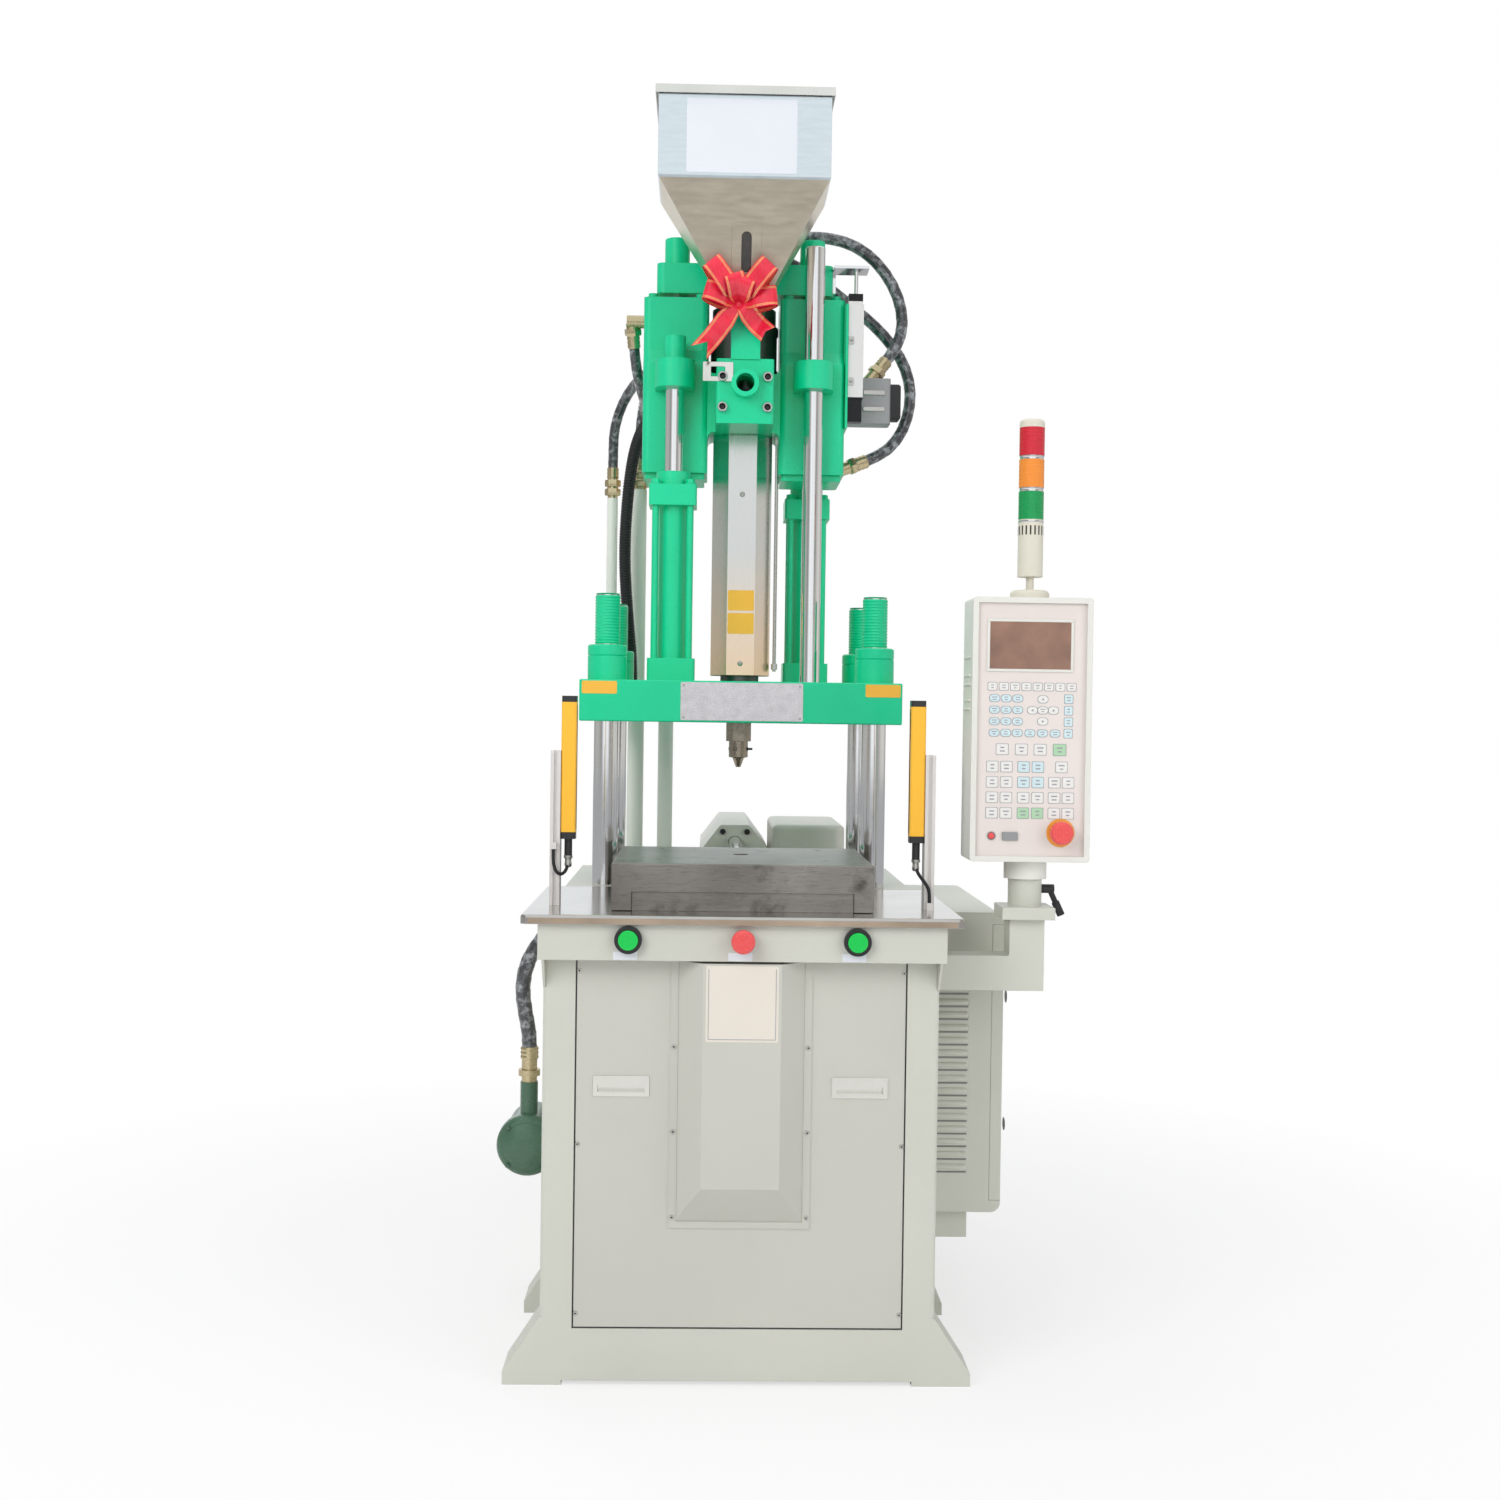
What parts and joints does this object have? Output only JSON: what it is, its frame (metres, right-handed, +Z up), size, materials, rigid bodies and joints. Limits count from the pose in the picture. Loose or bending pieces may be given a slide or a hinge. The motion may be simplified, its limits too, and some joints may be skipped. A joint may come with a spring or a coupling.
{
  "type": "vertical injection moulding machine",
  "caption": "Green hydraulic vertical injection moulding machine with a sliding lower table, tie-bar clamp, hopper, swivelling control panel and light curtains on a grey base.",
  "frame": {"origin": "on the floor, in the middle of the four corner anchor holes and under the injection axis", "axes": "+X to the operator's right, +Y to the rear, +Z up along the injection axis"},
  "size_m": [1.075, 1.621, 2.376],
  "materials": {
    "machine_green": "gloss",
    "base_grey": "satin",
    "stainless": "brushed",
    "chrome": "polished",
    "oiled_steel": "ground",
    "black_plastic": "matte",
    "button_green": "gloss",
    "stop_red": "gloss",
    "controller_white": "satin",
    "key_panel": "satin",
    "screen": "gloss",
    "tower_beige": "satin",
    "lens": "gloss",
    "curtain_yellow": "satin",
    "aluminium": "satin",
    "brass": "satin",
    "hose_black": "matte",
    "pipe_grey": "satin",
    "filter_green": "gloss",
    "connector_grey": "satin",
    "ribbon_red": "satin"
  },
  "bodies": {
    "base": {"base_frame": "base_grey", "front_panel": "base_grey", "panel_hood": "base_grey", "panel_handles": "chrome", "work_table": "stainless", "button_box": "base_grey", "button_bezels": "black_plastic", "slide_bed": "oiled_steel", "slide_cylinder": "base_grey", "motor_cover": "base_grey", "clamp_cylinder": "machine_green", "hydraulic_pipes": "pipe_grey", "pipe_fittings": "brass", "riser_hoses": "hose_black", "suction_filter": "filter_green", "suction_hose": "hose_black", "panel_arm": "base_grey", "control_cabinet": "base_grey", "curtain_posts": "aluminium", "light_curtains": "curtain_yellow", "sensor_cables": "hose_black"},
    "clamp_carriage": {"tie_bars": "chrome", "tie_bar_nuts": "machine_green", "upper_platen": "machine_green", "lower_crosshead": "machine_green", "seat_cylinders": "machine_green", "guide_bars": "chrome", "cable_conduit": "hose_black"},
    "injection_unit": {"seat_rods": "chrome", "injection_base": "machine_green", "cylinder_covers": "machine_green", "barrel": "oiled_steel", "barrel_cover": "stainless", "nozzle": "oiled_steel", "feed_block": "machine_green", "hopper": "stainless", "position_sensor": "aluminium", "connector_box": "connector_grey", "hose_fittings": "brass", "motor_hoses": "hose_black", "ribbon_bow": "ribbon_red"},
    "lid": {"hopper_lid": "stainless"},
    "crosshead": {"crosshead_beam": "machine_green", "injection_rods": "chrome", "hydraulic_motor": "machine_green", "sensor_rod": "chrome"},
    "screw": {"plasticising_screw": "chrome"},
    "slide_table": {"slide_plate": "oiled_steel", "slide_rod": "chrome"},
    "start_left": {"start_button_left": "button_green"},
    "start_right": {"start_button_right": "button_green"},
    "front_stop": {"front_stop_button": "stop_red"},
    "controller": {"controller_box": "controller_white", "control_face": "key_panel", "display": "screen", "tower_body": "tower_beige", "tower_lenses": "lens"},
    "panel_stop": {"panel_stop_button": "stop_red"},
    "lever": {"clamp_lever": "black_plastic"},
    "door": {"cabinet_door": "base_grey"}
  },
  "joints": [
    {"name": "clamp_slide", "type": "slide", "parent": "base", "child": "clamp_carriage", "axis": [0, 0, -1], "range_m": [0, 0.14], "deforming": ["riser_hoses"]},
    {"name": "seat_slide", "type": "slide", "parent": "clamp_carriage", "child": "injection_unit", "axis": [0, 0, 1], "range_m": [0, 0.15], "deforming": ["cable_conduit"]},
    {"name": "lid_hinge", "type": "hinge", "parent": "injection_unit", "child": "lid", "pos_m": [-0.008, -0.068, 2.352], "axis": [-1, 0, 0], "range_deg": [0, 100]},
    {"name": "injection_slide", "type": "slide", "parent": "injection_unit", "child": "crosshead", "axis": [0, 0, 1], "range_m": [0, 0.12], "deforming": ["motor_hoses"]},
    {"name": "screw_spin", "type": "hinge", "parent": "crosshead", "child": "screw", "pos_m": [0, 0, 1.6], "axis": [0, 0, 1], "continuous": true},
    {"name": "table_slide", "type": "slide", "parent": "base", "child": "slide_table", "axis": [0, 1, 0], "range_m": [0, 0.43]},
    {"name": "start_left_press", "type": "slide", "parent": "base", "child": "start_left", "axis": [0, 1, 0], "range_m": [0, 0.004], "stiffness_N_per_m": 600, "springref_m": -0.002},
    {"name": "start_right_press", "type": "slide", "parent": "base", "child": "start_right", "axis": [0, 1, 0], "range_m": [0, 0.004], "stiffness_N_per_m": 600, "springref_m": -0.002},
    {"name": "front_stop_press", "type": "slide", "parent": "base", "child": "front_stop", "axis": [0, 1, 0], "range_m": [0, 0.006], "stiffness_N_per_m": 900, "springref_m": -0.002},
    {"name": "panel_swivel", "type": "hinge", "parent": "base", "child": "controller", "pos_m": [0.508, -0.56, 0.9], "axis": [0, 0, 1], "range_deg": [-75, 75]},
    {"name": "panel_stop_press", "type": "slide", "parent": "controller", "child": "panel_stop", "axis": [0, 1, 0], "range_m": [0, 0.006], "stiffness_N_per_m": 900, "springref_m": -0.002},
    {"name": "lever_turn", "type": "hinge", "parent": "base", "child": "lever", "pos_m": [0.549, -0.56, 0.856], "axis": [1, 0, 0], "range_deg": [-60, 60]},
    {"name": "door_hinge", "type": "hinge", "parent": "base", "child": "door", "pos_m": [0.495, 0.0915, 0.52], "axis": [0, 0, 1], "range_deg": [0, 110]}
  ]
}
